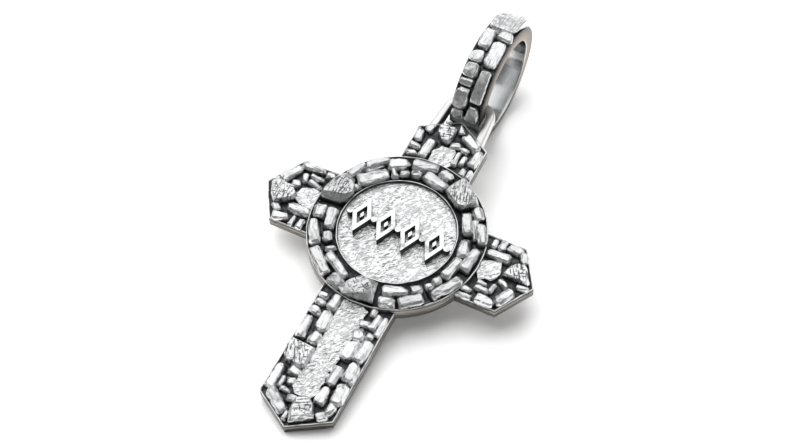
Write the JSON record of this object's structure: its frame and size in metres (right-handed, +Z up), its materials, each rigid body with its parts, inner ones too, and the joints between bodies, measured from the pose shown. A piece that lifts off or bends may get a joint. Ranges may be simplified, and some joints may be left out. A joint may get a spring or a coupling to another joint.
{
  "type": "crucifix pendant",
  "caption": "Cast silver crucifix pendant with a cobblestone face, round raised medallion, smooth hanging ring and a cobbled oval bail.",
  "frame": {"origin": "centre of the bottom of the whole pendant's box, on the surface that the foot of the cross and the back of the bail rest on", "axes": "+Z up, away from the surface; +Y from the foot of the cross towards the bail; +X along the right arm, seen from the front"},
  "size_m": [0.03, 0.0534, 0.0117],
  "materials": {
    "antique_silver": "worn bright silver on the raised stones, blackened in the gaps",
    "polished_silver": "smooth polished silver with faint scratches"
  },
  "bodies": {
    "root": {"cross": "antique_silver", "bail": "polished_silver"}
  },
  "joints": []
}
